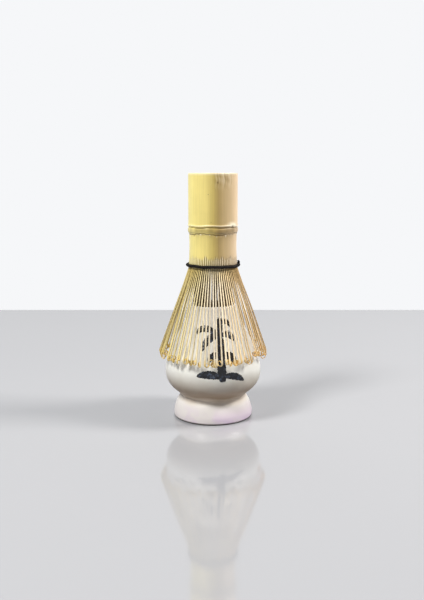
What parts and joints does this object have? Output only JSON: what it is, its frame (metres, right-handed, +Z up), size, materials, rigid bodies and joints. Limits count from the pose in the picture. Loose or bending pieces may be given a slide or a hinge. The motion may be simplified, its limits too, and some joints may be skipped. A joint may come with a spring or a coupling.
{
  "type": "bamboo tea whisk",
  "caption": "Bamboo tea whisk with a flared skirt of curled outer tines and a slim inner bundle, laced with black thread and seated on a glazed ceramic holder.",
  "frame": {"origin": "centre of the holder's foot on the plane it stands on", "axes": "+Z up along the common axis of the holder and the whisk; -Y is the front; +X is towards the thread's knot"},
  "size_m": [0.064, 0.064, 0.142],
  "materials": {
    "glazed_stoneware": "clear gloss glaze over white clay, with a raised ink-black brush motif",
    "ink_glaze": "thick ink-black overglaze enamel, slightly raised and glossy",
    "bamboo_culm": "smoked and dried bamboo skin, satin",
    "bamboo_pith": "pale inner wall of bamboo, matte",
    "bamboo_tine": "split and shaved bamboo, satin",
    "black_thread": "twisted black cotton thread"
  },
  "bodies": {
    "holder": {"holder": "glazed_stoneware"},
    "whisk": {"handle": "bamboo_culm", "node_diaphragm": "bamboo_pith", "binding_thread": "black_thread", "thread_knot": "black_thread", "inner_tines_01": "bamboo_tine", "inner_tines_02": "bamboo_tine", "inner_tines_03": "bamboo_tine", "inner_tines_04": "bamboo_tine", "inner_tines_05": "bamboo_tine", "inner_tines_06": "bamboo_tine", "inner_tines_07": "bamboo_tine", "inner_tines_08": "bamboo_tine", "inner_tines_09": "bamboo_tine", "inner_tines_10": "bamboo_tine", "inner_tines_11": "bamboo_tine", "inner_tines_12": "bamboo_tine", "inner_tines_13": "bamboo_tine", "inner_tines_14": "bamboo_tine", "inner_tines_15": "bamboo_tine", "inner_tines_16": "bamboo_tine"},
    "outer_splint_01": {"outer_tines_01": "bamboo_tine"},
    "outer_splint_02": {"outer_tines_02": "bamboo_tine"},
    "outer_splint_03": {"outer_tines_03": "bamboo_tine"},
    "outer_splint_04": {"outer_tines_04": "bamboo_tine"},
    "outer_splint_05": {"outer_tines_05": "bamboo_tine"},
    "outer_splint_06": {"outer_tines_06": "bamboo_tine"},
    "outer_splint_07": {"outer_tines_07": "bamboo_tine"},
    "outer_splint_08": {"outer_tines_08": "bamboo_tine"},
    "outer_splint_09": {"outer_tines_09": "bamboo_tine"},
    "outer_splint_10": {"outer_tines_10": "bamboo_tine"},
    "outer_splint_11": {"outer_tines_11": "bamboo_tine"},
    "outer_splint_12": {"outer_tines_12": "bamboo_tine"},
    "outer_splint_13": {"outer_tines_13": "bamboo_tine"},
    "outer_splint_14": {"outer_tines_14": "bamboo_tine"},
    "outer_splint_15": {"outer_tines_15": "bamboo_tine"},
    "outer_splint_16": {"outer_tines_16": "bamboo_tine"}
  },
  "joints": [
    {"name": "whisk_lift", "type": "slide", "parent": "holder", "child": "whisk", "axis": [0, 0, 1], "range_m": [0, 0.06]},
    {"name": "splint_flex_01", "type": "hinge", "parent": "whisk", "child": "outer_splint_01", "pos_m": [0.01345, 0, 0.0886], "axis": [0, -1, 0], "range_deg": [-1.5, 8], "stiffness_Nm_per_rad": 0.007},
    {"name": "splint_flex_02", "type": "hinge", "parent": "whisk", "child": "outer_splint_02", "pos_m": [0.01243, 0.00515, 0.0886], "axis": [0.3827, -0.9239, 0], "range_deg": [-1.5, 8], "stiffness_Nm_per_rad": 0.007},
    {"name": "splint_flex_03", "type": "hinge", "parent": "whisk", "child": "outer_splint_03", "pos_m": [0.00951, 0.00951, 0.0886], "axis": [0.7071, -0.7071, 0], "range_deg": [-1.5, 8], "stiffness_Nm_per_rad": 0.007},
    {"name": "splint_flex_04", "type": "hinge", "parent": "whisk", "child": "outer_splint_04", "pos_m": [0.00515, 0.01243, 0.0886], "axis": [0.9239, -0.3827, 0], "range_deg": [-1.5, 8], "stiffness_Nm_per_rad": 0.007},
    {"name": "splint_flex_05", "type": "hinge", "parent": "whisk", "child": "outer_splint_05", "pos_m": [0, 0.01345, 0.0886], "axis": [1, 0, 0], "range_deg": [-1.5, 8], "stiffness_Nm_per_rad": 0.007},
    {"name": "splint_flex_06", "type": "hinge", "parent": "whisk", "child": "outer_splint_06", "pos_m": [-0.00515, 0.01243, 0.0886], "axis": [0.9239, 0.3827, 0], "range_deg": [-1.5, 8], "stiffness_Nm_per_rad": 0.007},
    {"name": "splint_flex_07", "type": "hinge", "parent": "whisk", "child": "outer_splint_07", "pos_m": [-0.00951, 0.00951, 0.0886], "axis": [0.7071, 0.7071, 0], "range_deg": [-1.5, 8], "stiffness_Nm_per_rad": 0.007},
    {"name": "splint_flex_08", "type": "hinge", "parent": "whisk", "child": "outer_splint_08", "pos_m": [-0.01243, 0.00515, 0.0886], "axis": [0.3827, 0.9239, 0], "range_deg": [-1.5, 8], "stiffness_Nm_per_rad": 0.007},
    {"name": "splint_flex_09", "type": "hinge", "parent": "whisk", "child": "outer_splint_09", "pos_m": [-0.01345, 0, 0.0886], "axis": [0, 1, 0], "range_deg": [-1.5, 8], "stiffness_Nm_per_rad": 0.007},
    {"name": "splint_flex_10", "type": "hinge", "parent": "whisk", "child": "outer_splint_10", "pos_m": [-0.01243, -0.00515, 0.0886], "axis": [-0.3827, 0.9239, 0], "range_deg": [-1.5, 8], "stiffness_Nm_per_rad": 0.007},
    {"name": "splint_flex_11", "type": "hinge", "parent": "whisk", "child": "outer_splint_11", "pos_m": [-0.00951, -0.00951, 0.0886], "axis": [-0.7071, 0.7071, 0], "range_deg": [-1.5, 8], "stiffness_Nm_per_rad": 0.007},
    {"name": "splint_flex_12", "type": "hinge", "parent": "whisk", "child": "outer_splint_12", "pos_m": [-0.00515, -0.01243, 0.0886], "axis": [-0.9239, 0.3827, 0], "range_deg": [-1.5, 8], "stiffness_Nm_per_rad": 0.007},
    {"name": "splint_flex_13", "type": "hinge", "parent": "whisk", "child": "outer_splint_13", "pos_m": [0, -0.01345, 0.0886], "axis": [-1, 0, 0], "range_deg": [-1.5, 8], "stiffness_Nm_per_rad": 0.007},
    {"name": "splint_flex_14", "type": "hinge", "parent": "whisk", "child": "outer_splint_14", "pos_m": [0.00515, -0.01243, 0.0886], "axis": [-0.9239, -0.3827, 0], "range_deg": [-1.5, 8], "stiffness_Nm_per_rad": 0.007},
    {"name": "splint_flex_15", "type": "hinge", "parent": "whisk", "child": "outer_splint_15", "pos_m": [0.00951, -0.00951, 0.0886], "axis": [-0.7071, -0.7071, 0], "range_deg": [-1.5, 8], "stiffness_Nm_per_rad": 0.007},
    {"name": "splint_flex_16", "type": "hinge", "parent": "whisk", "child": "outer_splint_16", "pos_m": [0.01243, -0.00515, 0.0886], "axis": [-0.3827, -0.9239, 0], "range_deg": [-1.5, 8], "stiffness_Nm_per_rad": 0.007}
  ]
}
